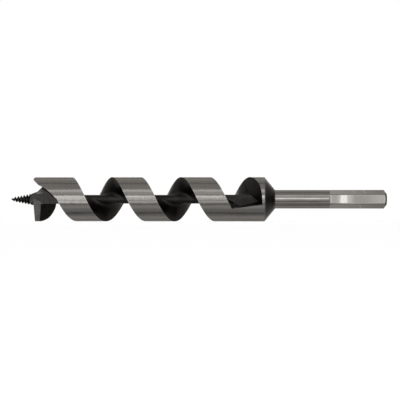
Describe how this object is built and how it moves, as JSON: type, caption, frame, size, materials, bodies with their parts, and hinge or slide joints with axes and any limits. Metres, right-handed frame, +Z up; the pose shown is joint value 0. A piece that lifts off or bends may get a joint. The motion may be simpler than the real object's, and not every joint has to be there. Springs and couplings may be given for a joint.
{
  "type": "auger bit",
  "caption": "Wood auger bit: tapered feed screw, ground head with lip and spur, wide helical flight on a thin core, black cone neck, and a round shank with a hexagon end.",
  "frame": {"origin": "centre of the end face of the shank", "axes": "+X along the bit's axis, out of the shank's end; the feed screw points to -X; +Z up and -Y to the front, with the spur at the top of the head and the flat of the throat at the front"},
  "size_m": [0.2368, 0.028, 0.028],
  "materials": {
    "ground_steel": "ground bright on the land, dark oxide scale in the flute",
    "edge_steel": "grey, ground along the cutting edge",
    "shank_steel": "turned bright, with a ground hexagon",
    "black_steel": "black oxide"
  },
  "bodies": {
    "root": {"feed_screw": "black_steel", "cutter_head": "ground_steel", "cutting_lip": "edge_steel", "spur": "ground_steel", "core_rod": "black_steel", "flight": "ground_steel", "neck_collar": "ground_steel", "shank": "shank_steel"}
  },
  "joints": []
}
